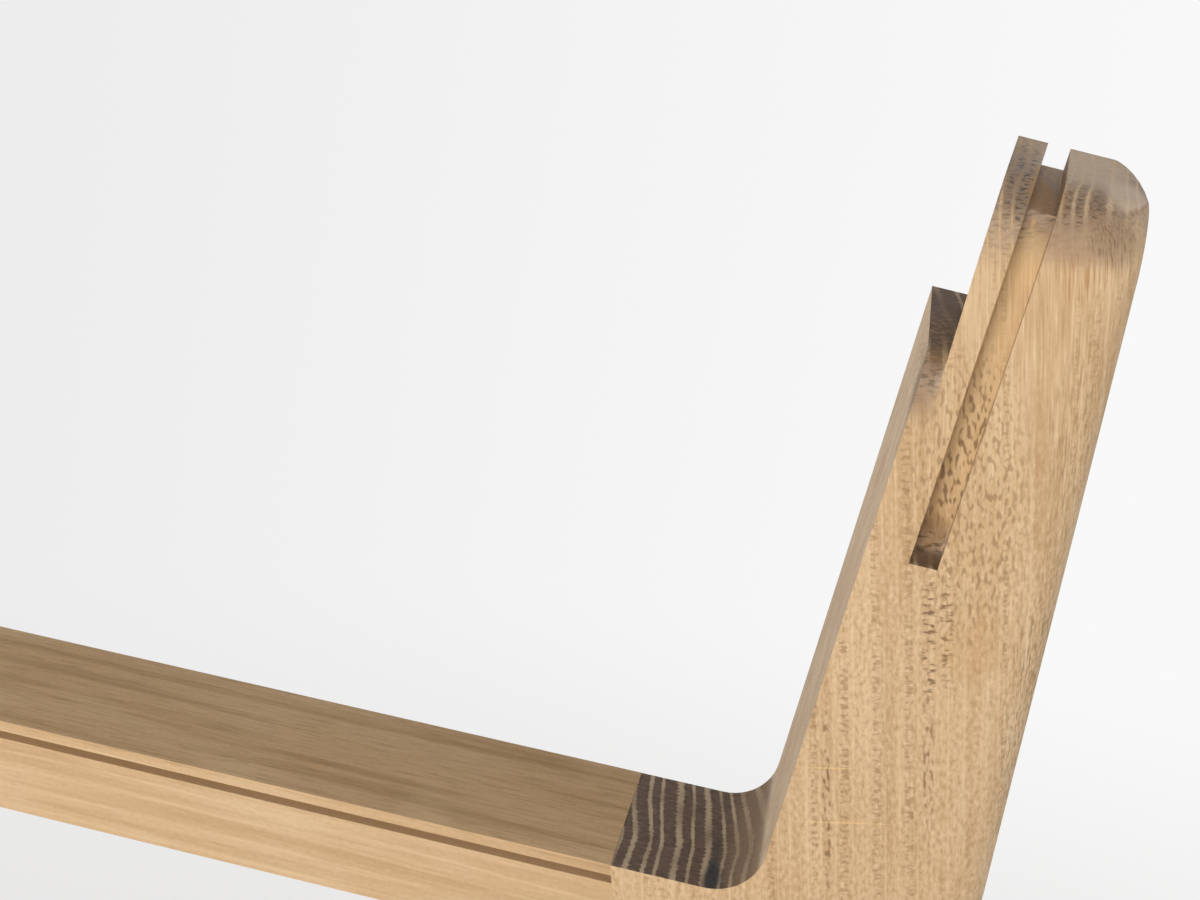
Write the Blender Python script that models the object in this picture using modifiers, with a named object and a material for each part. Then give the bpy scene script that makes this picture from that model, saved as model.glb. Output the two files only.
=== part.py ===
# Oak armchair: two side frames with wide flat armrests and slotted rear posts, four seat rails,
# a plywood seat and a bent plywood back band that slides down into the slots of the posts.
# Metres, Z up, the sitter faces -Y, the floor is Z = 0.
import math

import bmesh
import bpy
from mathutils import Matrix, Vector

# Fits between pieces
GAP = 0.0003
HOLE_CLEARANCE = 0.0003
BAND_CLEARANCE = 0.0003

# Overall widths and heights
INNER_WIDTH = 0.470
ARM_JOINT_HEIGHT = 0.640
GLIDE_HEIGHT = 0.004

# Armrest
ARM_WIDTH = 0.050
ARM_THICKNESS = 0.023
ARM_LENGTH = 0.335
ARM_SLOPE = math.radians(4.0)
ARM_NOSE_RADIUS = 0.0105
GROOVE_BELOW_TOP = 0.0026
GROOVE_HEIGHT = 0.0019
GROOVE_DEPTH = 0.006

# Rear post above the armrest
POST_HEIGHT = 0.177
POST_FRONT = 0.0331
POST_FRONT_LEAN = 0.096
POST_REAR = 0.0853
POST_FILLET = 0.0125
POST_REAR_ROUND = 0.018
POST_TOP_ROUND = 0.018
POST_REAR_TOP_ROUND = 0.0065
TOP_SLOPE = 0.19
TOP_LAND = 0.001
JOINT_RAKE = 0.24

# Slot of the back band, the lip in front of it and the shoulder in front of the lip
SLOT_WIDTH = 0.0060
SLOT_FRONT = 0.0427
SLOT_LEAN = 0.096
SLOT_SKEW = 0.100
SLOT_DEPTH = 0.006
SLOT_DRAFT = 0.010
SLOT_END = 0.0845
SLOT_CUTTER_RADIUS = 0.011
LIP_FRONT = 0.0391
LIP_LEAN = 0.080
SHOULDER_HEIGHT = 0.1385
SHOULDER_RADIUS = 0.011

# Rear leg below the armrest
LEG_BEND_BELOW = 0.045
LEG_BEND_RADIUS = 0.150
LEG_REAR_RAKE = 0.150
LEG_FRONT_AT_ARM = 0.034
LEG_FOOT_DEPTH = 0.034
LEG_FILLET = 0.030

# Front leg
FRONT_LEG_WIDTH = 0.040
FRONT_LEG_DEPTH = 0.038
FRONT_LEG_TAPER = 0.009
FRONT_LEG_SETBACK = 0.010
LEG_EDGE_ROUND = 0.003

# Seat and its rails
SEAT_HEIGHT = 0.448
SEAT_SLOPE = math.radians(3.0)
SEAT_THICKNESS = 0.012
SEAT_FRONT_OVERHANG = 0.009
SEAT_LEG_CLEARANCE = 0.0015
SEAT_EDGE_ROUND = 0.003
RAIL_HEIGHT = 0.055
RAIL_THICKNESS = 0.022
SIDE_RAIL_INSET = 0.004
REAR_RAIL_SETBACK = 0.002
BLOCK_REACH = 0.052
BLOCK_TIP = 0.003
BLOCK_HEIGHT = 0.026
BLOCK_BELOW_RAIL_TOP = 0.0006

# Bent plywood back band
BAND_HEIGHT = 0.088
BAND_PLACE = 0.318

# Dowels, screws and glides
DOWEL_RADIUS = 0.004
DOWEL_CHAMFER = 0.0008
ARM_REAR_DOWEL_IN_ARM = 0.020
ARM_REAR_DOWEL_IN_LEG = 0.022
ARM_FRONT_DOWEL_IN_ARM = 0.014
ARM_FRONT_DOWEL_IN_LEG = 0.020
SIDE_RAIL_DOWEL_IN_RAIL = 0.020
SIDE_RAIL_DOWEL_IN_FRONT_LEG = 0.012
SIDE_RAIL_DOWEL_IN_REAR_LEG = 0.011
CROSS_RAIL_DOWEL_IN_RAIL = 0.022
CROSS_RAIL_DOWEL_IN_LEG = 0.014
SIDE_RAIL_DOWEL_PITCH = 0.0132
CROSS_RAIL_DOWEL_PITCH = 0.036
ARM_DOWEL_PITCH = 0.024
FRONT_LEG_DOWEL_PITCH = 0.016
SCREW_RADIUS = 0.0020
SCREW_HEAD_RADIUS = 0.0042
SCREW_HEAD_HEIGHT = 0.0028
SCREW_IN_SEAT = 0.009
GLIDE_RADIUS = 0.011
GLIDE_EDGE = 0.0012
GLIDE_PIN_POINT = 0.002
GLIDE_PIN_RADIUS = 0.0016
GLIDE_PIN_LENGTH = 0.014

# Flats in each rounding
ROUND_STEPS = 11
LEG_STEPS = 12
TOP_STEPS = 6

# Sizes that follow from the ones above
INNER = INNER_WIDTH / 2.0
OUTER = INNER + ARM_WIDTH
TOP_TURN = math.pi / 2.0 - math.atan(TOP_SLOPE)
BAND_THICKNESS = SLOT_WIDTH - 2.0 * BAND_CLEARANCE
BAND_LENGTH = INNER_WIDTH + 2.0 * (SLOT_DEPTH - BAND_CLEARANCE)
SPARE = 0.02


def arm_point(back, up):
    """Side view point (y, z) from the distance behind the arm joint and the height above the armrest top."""
    y = back * math.cos(ARM_SLOPE) + up * math.sin(ARM_SLOPE)
    z = ARM_JOINT_HEIGHT - back * math.sin(ARM_SLOPE) + up * math.cos(ARM_SLOPE)
    return (y, z)


def post_place(y, z):
    """Distance behind the arm joint and height along the leaning lip of a side view point."""
    rise = z - ARM_JOINT_HEIGHT
    back = y * math.cos(ARM_SLOPE) - rise * math.sin(ARM_SLOPE)
    up = y * math.sin(ARM_SLOPE) + rise * math.cos(ARM_SLOPE)
    return (back, up + LIP_LEAN * (back - LIP_FRONT))


def post_point(back, level):
    """Side view point from the distance behind the arm joint and the height along the leaning lip."""
    return arm_point(back, level - LIP_LEAN * (back - LIP_FRONT))


def post_front(level):
    """Distance of the post's front face behind the arm joint at a height along the lip."""
    return (POST_FRONT + POST_FRONT_LEAN * (level + LIP_LEAN * LIP_FRONT)) / (1.0 + POST_FRONT_LEAN * LIP_LEAN)


def post_rear(level):
    """Distance of the post's rear face behind the arm joint, rounded off towards the top."""
    over = max(0.0, level - POST_HEIGHT + POST_REAR_TOP_ROUND)
    return POST_REAR - POST_REAR_TOP_ROUND + math.sqrt(POST_REAR_TOP_ROUND ** 2 - over ** 2)


def roll_start(radius, height):
    """Height at which the roll of a sloping top leaves the inner face."""
    over = radius * (1.0 - math.cos(TOP_TURN))
    return height - TOP_SLOPE * (ARM_WIDTH - over) - radius * math.sin(TOP_TURN)


# Lines of the rear leg in side view
BEND = arm_point(POST_REAR, -LEG_BEND_BELOW)
FOOT_Z = GLIDE_HEIGHT + GAP
FOOT_REAR = BEND[0] + (BEND[1] - FOOT_Z) * LEG_REAR_RAKE
FOOT_FRONT = FOOT_REAR - LEG_FOOT_DEPTH
ARM_BOTTOM = arm_point(LEG_FRONT_AT_ARM, -ARM_THICKNESS)
LEG_FRONT_RAKE = (FOOT_FRONT - ARM_BOTTOM[0]) / (ARM_BOTTOM[1] - FOOT_Z)


def rear_leg_front(z):
    """Front edge of the rear leg at a height."""
    return ARM_BOTTOM[0] + (ARM_BOTTOM[1] - z) * LEG_FRONT_RAKE


def rear_leg_back(z):
    """Rear edge of the rear leg at a height below its bend."""
    return BEND[0] + (BEND[1] - z) * LEG_REAR_RAKE


# The chair is centred front to back on the floor
ARM_FRONT = arm_point(-ARM_LENGTH, ARM_NOSE_RADIUS - ARM_THICKNESS)[0]
CENTRE = (ARM_FRONT + FOOT_REAR) / 2.0
LEG_FRONT_FACE = ARM_FRONT + FRONT_LEG_SETBACK
LEG_REAR_FACE = LEG_FRONT_FACE + FRONT_LEG_DEPTH

# Seat frame: v runs back along the seat, w up from the rail tops
SEAT_ORIGIN_Y = LEG_FRONT_FACE + FRONT_LEG_DEPTH / 2.0
SEAT_ORIGIN_Z = SEAT_HEIGHT - SEAT_THICKNESS


def seat_point(v, w):
    """Side view point (y, z) from the distance along the seat and the height above the rail tops."""
    y = SEAT_ORIGIN_Y + v * math.cos(SEAT_SLOPE) + w * math.sin(SEAT_SLOPE)
    z = SEAT_ORIGIN_Z - v * math.sin(SEAT_SLOPE) + w * math.cos(SEAT_SLOPE)
    return (y, z)


def along_seat(y):
    """Distance along the rail tops of a side view position."""
    return (y - SEAT_ORIGIN_Y) / math.cos(SEAT_SLOPE)


RAIL_MIDDLE_Z = SEAT_ORIGIN_Z - RAIL_HEIGHT / 2.0
REAR_RAIL_Z = RAIL_MIDDLE_Z - along_seat(rear_leg_front(RAIL_MIDDLE_Z)) * math.sin(SEAT_SLOPE)
REAR_RAIL_Y = (rear_leg_front(REAR_RAIL_Z) + rear_leg_back(REAR_RAIL_Z)) / 2.0 + REAR_RAIL_SETBACK
REAR_RAIL_V = along_seat(REAR_RAIL_Y)

for old in list(bpy.data.objects):
    bpy.data.objects.remove(old, do_unlink=True)

chair = bpy.data.collections.new("wooden_armchair")
bpy.context.scene.collection.children.link(chair)
cutters = bpy.data.collections.new("cutters")
bpy.context.scene.collection.children.link(cutters)


def finish(name, colour, roughness, metallic=0.0):
    """Plain surface finish."""
    made = bpy.data.materials.new(name)
    made.use_nodes = True
    shader = made.node_tree.nodes["Principled BSDF"]
    shader.inputs["Base Color"].default_value = (colour[0], colour[1], colour[2], 1.0)
    shader.inputs["Roughness"].default_value = roughness
    shader.inputs["Metallic"].default_value = metallic
    made.diffuse_color = (colour[0], colour[1], colour[2], 1.0)
    return made


oiled_oak = finish("oiled_oak", (0.62, 0.43, 0.23), 0.55)
oak_plywood = finish("oak_plywood", (0.60, 0.44, 0.26), 0.50)
beech = finish("beech", (0.66, 0.47, 0.30), 0.65)
zinc_steel = finish("zinc_steel", (0.62, 0.62, 0.60), 0.35, 1.0)
nylon = finish("nylon", (0.80, 0.79, 0.75), 0.50)


def rounded(corners, steps=6):
    """Closed outline from (p, q, radius) corners, each radius drawn as a tangent arc."""
    points = []
    count = len(corners)
    for i in range(count):
        here = Vector(corners[i][:2])
        before = Vector(corners[i - 1][:2]) - here
        after = Vector(corners[(i + 1) % count][:2]) - here
        radius = corners[i][2]
        if radius == 0.0:
            points.append((here.x, here.y))
            continue
        half = before.angle(after) / 2.0
        tangent = radius / math.tan(half)
        start = here + before.normalized() * tangent
        end = here + after.normalized() * tangent
        middle = here + (before.normalized() + after.normalized()).normalized() * (radius / math.sin(half))
        first = start - middle
        sweep = first.angle_signed(end - middle)
        for k in range(steps + 1):
            turn = -sweep * k / steps
            p = middle.x + first.x * math.cos(turn) - first.y * math.sin(turn)
            q = middle.y + first.x * math.sin(turn) + first.y * math.cos(turn)
            points.append((p, q))
    return points


def arc(centre, radius, start, end, steps):
    """Points of a circular arc, angles in radians."""
    points = []
    for k in range(steps + 1):
        angle = start + (end - start) * k / steps
        points.append((centre[0] + radius * math.cos(angle), centre[1] + radius * math.sin(angle)))
    return points


def axes(origin, p, q, r):
    """Placement with the outline's p and q directions and the thickness direction r."""
    place = Matrix.Identity(4)
    for row in range(3):
        place[row][0] = p[row]
        place[row][1] = q[row]
        place[row][2] = r[row]
        place[row][3] = origin[row]
    return place


def new_object(name, mesh, place, home, material=None):
    made = bpy.data.objects.new(name, mesh)
    home.objects.link(made)
    made.matrix_world = place
    if material is not None:
        mesh.materials.clear()
        mesh.materials.append(material)
    if home is cutters:
        made.hide_render = True
        made.display_type = "WIRE"
    return made


def slab(name, outline, start, end, place, home, material=None):
    """Flat outline given a thickness from start to end along its own normal."""
    curve = bpy.data.curves.new(name, "CURVE")
    curve.dimensions = "2D"
    curve.fill_mode = "BOTH"
    curve.extrude = (end - start) / 2.0
    spline = curve.splines.new("POLY")
    spline.points.add(len(outline) - 1)
    for point, (p, q) in zip(spline.points, outline):
        point.co = (p, q, 0.0, 1.0)
    spline.use_cyclic_u = True
    drawn = bpy.data.objects.new(name + "_outline", curve)
    home.objects.link(drawn)
    view = bpy.context.evaluated_depsgraph_get()
    mesh = bpy.data.meshes.new_from_object(drawn.evaluated_get(view))
    bpy.data.objects.remove(drawn, do_unlink=True)
    body = bmesh.new()
    body.from_mesh(mesh)
    bmesh.ops.remove_doubles(body, verts=body.verts, dist=0.00001)
    bmesh.ops.dissolve_limit(body, angle_limit=0.001, verts=body.verts, edges=body.edges)
    bmesh.ops.translate(body, verts=body.verts, vec=(0.0, 0.0, (start + end) / 2.0))
    bmesh.ops.recalc_face_normals(body, faces=body.faces)
    body.to_mesh(mesh)
    body.free()
    mesh.name = name
    return new_object(name, mesh, place, home, material)


def turned(name, profile, place, home, material=None, sides=14):
    """Round piece turned about its own Z axis from (radius, height) points, closed on the axis."""
    body = bmesh.new()
    verts = [body.verts.new((radius, 0.0, height)) for radius, height in profile]
    edges = [body.edges.new((verts[i], verts[i + 1])) for i in range(len(verts) - 1)]
    bmesh.ops.spin(body, geom=verts + edges, cent=(0, 0, 0), axis=(0, 0, 1), angle=2.0 * math.pi,
                   steps=sides, use_merge=True)
    bmesh.ops.remove_doubles(body, verts=body.verts, dist=0.00001)
    bmesh.ops.recalc_face_normals(body, faces=body.faces)
    mesh = bpy.data.meshes.new(name)
    body.to_mesh(mesh)
    body.free()
    mesh.shade_smooth()
    return new_object(name, mesh, place, home, material)


def aligned(start, end):
    """Placement of a round piece whose axis runs from start to end."""
    direction = (Vector(end) - Vector(start)).normalized()
    turn = direction.to_track_quat("Z", "Y").to_matrix().to_4x4()
    return Matrix.Translation(start) @ turn


def dowel(name, start, end, home, material=None):
    """Chamfered dowel pin from one end point to the other."""
    length = (Vector(end) - Vector(start)).length
    profile = [(0.0, 0.0), (DOWEL_RADIUS - DOWEL_CHAMFER, 0.0), (DOWEL_RADIUS, DOWEL_CHAMFER),
               (DOWEL_RADIUS, length - DOWEL_CHAMFER), (DOWEL_RADIUS - DOWEL_CHAMFER, length), (0.0, length)]
    return turned(name, profile, aligned(start, end), home, material)


def bore(name, start, end, radius):
    """Round cutter a little wider and longer than the pin that it makes room for."""
    length = (Vector(end) - Vector(start)).length
    wide = radius + HOLE_CLEARANCE
    profile = [(0.0, -GAP), (wide, -GAP), (wide, length + GAP), (0.0, length + GAP)]
    return turned(name, profile, aligned(start, end), cutters)


def cut(piece, tool):
    """Takes the cutter's volume off the piece."""
    step = piece.modifiers.new(tool.name, "BOOLEAN")
    step.operation = "DIFFERENCE"
    step.solver = "EXACT"
    step.object = tool


def settle(piece):
    """Bakes the cuts into the piece's own mesh."""
    view = bpy.context.evaluated_depsgraph_get()
    baked = bpy.data.meshes.new_from_object(piece.evaluated_get(view))
    piece.modifiers.clear()
    old = piece.data
    piece.data = baked
    bpy.data.meshes.remove(old)
    baked.name = piece.name


def mirrored(piece, name):
    """Left hand twin of a right hand piece."""
    mesh = piece.data.copy()
    mesh.name = name
    mesh.transform(Matrix.Diagonal((-1.0, 1.0, 1.0, 1.0)) @ piece.matrix_world)
    mesh.flip_normals()
    return new_object(name, mesh, Matrix.Identity(4), chair)


def softened(piece, width, segments=2):
    """Small rounding on all sharp edges."""
    step = piece.modifiers.new("edge_round", "BEVEL")
    step.width = width
    step.segments = segments
    step.limit_method = "ANGLE"
    step.angle_limit = math.radians(40.0)
    settle(piece)


# Side view placement: outline p is Y, q is Z, thickness runs along X
SIDE = axes((0.0, -CENTRE, 0.0), (0, 1, 0), (0, 0, 1), (1, 0, 0))


def side(x, point):
    """World position from a side view point."""
    return Vector((x, point[0] - CENTRE, point[1]))


# Placement along the armrest: p inward to outward, q up, thickness back, for cuts on the right hand post
def post_axes(lean, skew, foot):
    """Axes of a cut that leans and turns with the slot, starting at a distance behind the arm joint."""
    tilt = ARM_SLOPE + math.atan(lean)
    turn = math.atan(skew)
    up = Vector((0.0, math.sin(tilt), math.cos(tilt)))
    back = Vector((0.0, math.cos(tilt), -math.sin(tilt)))
    outward = Vector((-1.0, 0.0, 0.0))
    deeper = outward * math.cos(turn) + back * math.sin(turn)
    across = back * math.cos(turn) - outward * math.sin(turn)
    return axes(side(-INNER, arm_point(foot, 0.0)), deeper, up, across)


# Rear leg: foot, raked leg, stub for the armrest, fillet and leaning post up to its rolled top
nose_start = roll_start(POST_TOP_ROUND, POST_HEIGHT)
leg_corners = [
    (FOOT_REAR, FOOT_Z, 0.0),
    (BEND[0], BEND[1], LEG_BEND_RADIUS),
    post_point(POST_REAR, nose_start) + (0.0,),
    post_point(post_front(nose_start), nose_start) + (0.0,),
    arm_point(POST_FRONT, 0.0) + (POST_FILLET,),
    arm_point(0.0, 0.0) + (0.0,),
    arm_point(JOINT_RAKE * ARM_THICKNESS, -ARM_THICKNESS) + (0.0,),
    (ARM_BOTTOM[0], ARM_BOTTOM[1], LEG_FILLET),
    (FOOT_FRONT, FOOT_Z, 0.0),
]
rear_leg = slab("rear_leg_right", rounded(leg_corners, LEG_STEPS), -OUTER, -INNER, SIDE, chair, oiled_oak)

# The two rear edges of the leg and post are well rounded
body = bmesh.new()
body.from_mesh(rear_leg.data)
rear_line = rounded(leg_corners, LEG_STEPS)[0:LEG_STEPS + 3]
rear_keys = {(round(y, 5), round(z, 5)) for y, z in rear_line}
rear_edges = []
for edge in body.edges:
    first = edge.verts[0].co
    second = edge.verts[1].co
    level = abs(first.z - second.z) < 0.00001
    on_rear = (round(first.x, 5), round(first.y, 5)) in rear_keys
    also_rear = (round(second.x, 5), round(second.y, 5)) in rear_keys
    if level and on_rear and also_rear:
        rear_edges.append(edge)
bmesh.ops.bevel(body, geom=rear_edges, offset=POST_REAR_ROUND, offset_type="OFFSET",
                segments=ROUND_STEPS, profile=0.5, affect="EDGES", clamp_overlap=False)

# Top of the post: its section shrinks towards the outer face, rolled over first and then in a slope
sections = []
for i in range(1, ROUND_STEPS + 1):
    angle = TOP_TURN * i / ROUND_STEPS
    sections.append((POST_TOP_ROUND * (1.0 - math.cos(angle)), nose_start + POST_TOP_ROUND * math.sin(angle)))
slope_start, slope_level = sections[-1]
for i in range(1, TOP_STEPS + 1):
    run = (ARM_WIDTH - TOP_LAND - slope_start) * math.sin(math.pi / 2.0 * i / TOP_STEPS)
    sections.append((slope_start + run, slope_level + TOP_SLOPE * run))
top = max(body.faces, key=lambda face: face.calc_center_median().y)
below = (0.0, nose_start)
for inset, level in sections:
    top = bmesh.ops.extrude_discrete_faces(body, faces=[top])["faces"][0]
    for vert in top.verts:
        back = post_place(vert.co.x, vert.co.y)[0]
        share = (back - post_front(below[1])) / (post_rear(below[1]) - post_front(below[1]))
        back = post_front(level) + share * (post_rear(level) - post_front(level))
        width = (vert.co.z + OUTER) * (ARM_WIDTH - inset) / (ARM_WIDTH - below[0])
        vert.co = post_point(back, level) + (width - OUTER,)
    below = (inset, level)
body.to_mesh(rear_leg.data)
body.free()

# Shoulder in front of the lip, rolled and sloped as the top is
shoulder_start = roll_start(SHOULDER_RADIUS, SHOULDER_HEIGHT)
shoulder = [(-SPARE, shoulder_start)]
shoulder += arc((SHOULDER_RADIUS, shoulder_start), SHOULDER_RADIUS, math.pi, math.pi - TOP_TURN, ROUND_STEPS)
shoulder += [(ARM_WIDTH + SPARE, SHOULDER_HEIGHT + TOP_SLOPE * SPARE)]
shoulder += [(ARM_WIDTH + SPARE, POST_HEIGHT + 3 * SPARE), (-SPARE, POST_HEIGHT + 3 * SPARE)]
lip_axes = post_axes(LIP_LEAN, SLOT_SKEW, LIP_FRONT)
cut(rear_leg, slab("shoulder_cut", shoulder, -POST_REAR, 0.0, lip_axes, cutters))

# Slot for the back band: run-out of a round cutter at its lower end, floor turning to the slope of the top,
# walls opening slightly towards the mouth
run_out = (SLOT_DEPTH - SLOT_CUTTER_RADIUS, SLOT_END + SLOT_CUTTER_RADIUS)
open_angle = math.asin((SLOT_CUTTER_RADIUS - SLOT_DEPTH) / SLOT_CUTTER_RADIUS)
slot = arc(run_out, SLOT_CUTTER_RADIUS, -math.pi / 2.0 + open_angle, 0.0, ROUND_STEPS)
floor_height = POST_HEIGHT - SLOT_DEPTH
slot += [(SLOT_DEPTH, floor_height - TOP_SLOPE * (ARM_WIDTH - SLOT_DEPTH))]
slot += [(ARM_WIDTH + SPARE, floor_height + TOP_SLOPE * SPARE)]
slot += [(ARM_WIDTH + SPARE, POST_HEIGHT + 2 * SPARE), (-SPARE, POST_HEIGHT + 2 * SPARE), (-SPARE, slot[0][1])]
slot_axes = post_axes(SLOT_LEAN, SLOT_SKEW, SLOT_FRONT)
slot_cutter = slab("band_slot_cut", slot, 0.0, SLOT_WIDTH, slot_axes, cutters)
for vert in slot_cutter.data.vertices:
    opening = SLOT_DRAFT * (SLOT_DEPTH - vert.co.x)
    vert.co.z += opening if vert.co.z > SLOT_WIDTH / 2.0 else -opening
cut(rear_leg, slot_cutter)

# Armrest: wide flat board with a thin groove in its inner side and a rounded front end
arm_corners = [
    arm_point(-GAP, 0.0) + (0.0,),
    arm_point(-ARM_LENGTH, 0.0) + (ARM_NOSE_RADIUS,),
    arm_point(-ARM_LENGTH, -ARM_THICKNESS) + (ARM_NOSE_RADIUS,),
    arm_point(JOINT_RAKE * ARM_THICKNESS - GAP, -ARM_THICKNESS) + (0.0,),
]
armrest = slab("armrest_right", rounded(arm_corners, 6), -OUTER, -INNER, SIDE, chair, oiled_oak)
groove_low = -GROOVE_BELOW_TOP - GROOVE_HEIGHT
groove = [arm_point(SPARE, -GROOVE_BELOW_TOP), arm_point(-ARM_LENGTH - SPARE, -GROOVE_BELOW_TOP),
          arm_point(-ARM_LENGTH - SPARE, groove_low), arm_point(SPARE, groove_low)]
cut(armrest, slab("arm_groove_cut", groove, -INNER - GROOVE_DEPTH, -INNER + SPARE, SIDE, cutters))

# Front leg: square, tapered on its outer and front faces, cut to the slope of the armrest
leg_outer = INNER + FRONT_LEG_WIDTH


def under_arm(y):
    """Underside of the armrest at a side view position, less the fitting gap."""
    base = arm_point(0.0, -ARM_THICKNESS)
    return base[1] - (y - base[0]) * math.tan(ARM_SLOPE) - GAP / math.cos(ARM_SLOPE)


front_top = under_arm(LEG_FRONT_FACE)
rear_top = under_arm(LEG_REAR_FACE)
foot_front_face = LEG_FRONT_FACE + FRONT_LEG_TAPER
foot_outer = leg_outer - FRONT_LEG_TAPER
leg_points = [
    side(-foot_outer, (foot_front_face, FOOT_Z)), side(-INNER, (foot_front_face, FOOT_Z)),
    side(-INNER, (LEG_REAR_FACE, FOOT_Z)), side(-foot_outer, (LEG_REAR_FACE, FOOT_Z)),
    side(-leg_outer, (LEG_FRONT_FACE, front_top)), side(-INNER, (LEG_FRONT_FACE, front_top)),
    side(-INNER, (LEG_REAR_FACE, rear_top)), side(-leg_outer, (LEG_REAR_FACE, rear_top)),
]
leg_faces = [(3, 2, 1, 0), (4, 5, 6, 7), (0, 1, 5, 4), (1, 2, 6, 5), (2, 3, 7, 6), (3, 0, 4, 7)]
leg_mesh = bpy.data.meshes.new("front_leg_right")
leg_mesh.from_pydata([tuple(p) for p in leg_points], [], leg_faces)
front_leg = new_object("front_leg_right", leg_mesh, Matrix.Identity(4), chair, oiled_oak)
upright = front_leg.modifiers.new("long_edges", "BEVEL")
upright.width = LEG_EDGE_ROUND
upright.segments = 3
upright.limit_method = "ANGLE"
upright.angle_limit = math.radians(40.0)
settle(front_leg)

# Side rail between the front leg and the rear leg
rail_mid = INNER + SIDE_RAIL_INSET + RAIL_THICKNESS / 2.0
rail_front_top = seat_point(along_seat(LEG_REAR_FACE + GAP), -GAP)[1]
rail_front_low = rail_front_top - RAIL_HEIGHT
rear_guess = along_seat(rear_leg_front(REAR_RAIL_Z))
rail_rear_top = seat_point(rear_guess, -GAP)[1]
rail_rear_low = rail_rear_top - RAIL_HEIGHT
side_rail_outline = [
    (LEG_REAR_FACE + GAP, rail_front_low), (rear_leg_front(rail_rear_low) - GAP, rail_rear_low),
    (rear_leg_front(rail_rear_top) - GAP, rail_rear_top), (LEG_REAR_FACE + GAP, rail_front_top),
]
side_rail = slab("side_rail_right", side_rail_outline, -rail_mid - RAIL_THICKNESS / 2.0,
                 -rail_mid + RAIL_THICKNESS / 2.0, SIDE, chair, oiled_oak)


# Front and rear rails, square to the seat
def seat_axes(v):
    """Placement of a section that lies square to the seat at a distance along it."""
    back = (0.0, math.cos(SEAT_SLOPE), -math.sin(SEAT_SLOPE))
    up = (0.0, math.sin(SEAT_SLOPE), math.cos(SEAT_SLOPE))
    return axes(side(0.0, seat_point(v, 0.0)), back, up, (1, 0, 0))


half = RAIL_THICKNESS / 2.0
rail_section = [(-half, -RAIL_HEIGHT), (half, -RAIL_HEIGHT), (half, -GAP), (-half, -GAP)]
rail_end = INNER - GAP
front_rail = slab("front_rail", rail_section, -rail_end, rail_end, seat_axes(0.0), chair, oiled_oak)
rear_rail = slab("rear_rail", rail_section, -rail_end, rail_end, seat_axes(REAR_RAIL_V), chair, oiled_oak)

# Plywood seat, notched round the four legs
seat_plan = axes(side(0.0, seat_point(0.0, 0.0)), (1, 0, 0),
                 (0.0, math.cos(SEAT_SLOPE), -math.sin(SEAT_SLOPE)),
                 (0.0, math.sin(SEAT_SLOPE), math.cos(SEAT_SLOPE)))
seat_inner = INNER - SEAT_LEG_CLEARANCE
seat_outer = rail_mid + RAIL_THICKNESS / 2.0 + SEAT_LEG_CLEARANCE
seat_front = -FRONT_LEG_DEPTH / 2.0 - SEAT_FRONT_OVERHANG
front_notch = FRONT_LEG_DEPTH / 2.0 + SEAT_LEG_CLEARANCE
seat_top_z = seat_point(rear_guess, SEAT_THICKNESS)[1]
rear_notch = along_seat(rear_leg_front(seat_top_z)) - 2.0 * SEAT_LEG_CLEARANCE
seat_rear = REAR_RAIL_V + RAIL_THICKNESS / 2.0
seat_corners = [(-seat_outer, seat_front), (seat_outer, seat_front), (seat_outer, seat_rear),
                (-seat_outer, seat_rear)]
seat_panel = slab("seat_panel", seat_corners, 0.0, SEAT_THICKNESS, seat_plan, chair, oak_plywood)
for sign in (1.0, -1.0):
    for near, far in ((seat_front - SPARE, front_notch), (rear_notch, seat_rear + SPARE)):
        notch = [(sign * seat_inner, near), (sign * (seat_outer + SPARE), near),
                 (sign * (seat_outer + SPARE), far), (sign * seat_inner, far)]
        cut(seat_panel, slab("seat_notch", notch, -SPARE, SEAT_THICKNESS + SPARE, seat_plan, cutters))
settle(seat_panel)
softened(seat_panel, SEAT_EDGE_ROUND)

# Back band drawn out of its slots and set down on the rear of the seat. Its middle stands forward,
# and its ends run out in the direction of the slots.
band_half = BAND_LENGTH / 2.0
band_radius = band_half / math.sin(math.atan(SLOT_SKEW))
half_turn = math.atan(SLOT_SKEW)
band_centre = (0.0, BAND_PLACE + band_radius)
near = band_radius + BAND_THICKNESS / 2.0
far = band_radius - BAND_THICKNESS / 2.0
down = -math.pi / 2.0
front_line = arc(band_centre, near, down - half_turn, down + half_turn, 16)
back_line = arc(band_centre, far, down + half_turn, down - half_turn, 16)
band_outline = front_line + back_line
band_low = SEAT_THICKNESS + GAP
back_band = slab("back_band", band_outline, band_low, band_low + BAND_HEIGHT, seat_plan, chair, oak_plywood)

# Triangular glue blocks in the corners of the seat frame
rail_inner_x = rail_mid - RAIL_THICKNESS / 2.0 - GAP
block_top = -BLOCK_BELOW_RAIL_TOP
block_low = block_top - BLOCK_HEIGHT
leg_clear = INNER - SEAT_LEG_CLEARANCE
front_face = half + GAP
leg_edge = FRONT_LEG_DEPTH / 2.0 + 2.0 * SEAT_LEG_CLEARANCE
front_block = [
    (-leg_clear, front_face), (-leg_clear, leg_edge), (-rail_inner_x, leg_edge),
    (-rail_inner_x, front_face + BLOCK_REACH), (-leg_clear + BLOCK_REACH, front_face + BLOCK_TIP),
    (-leg_clear + BLOCK_REACH, front_face),
]
block_front = slab("corner_block_front_right", front_block, block_low, block_top, seat_plan, chair, beech)
rear_face = REAR_RAIL_V - half - GAP
low_leg = along_seat(rear_leg_front(seat_top_z)) - 2.0 * SEAT_LEG_CLEARANCE
rear_block = [
    (-leg_clear + BLOCK_REACH, rear_face), (-leg_clear + BLOCK_REACH, rear_face - BLOCK_TIP),
    (-rail_inner_x, rear_face - BLOCK_REACH), (-rail_inner_x, low_leg), (-leg_clear, low_leg),
    (-leg_clear, rear_face),
]
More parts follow.
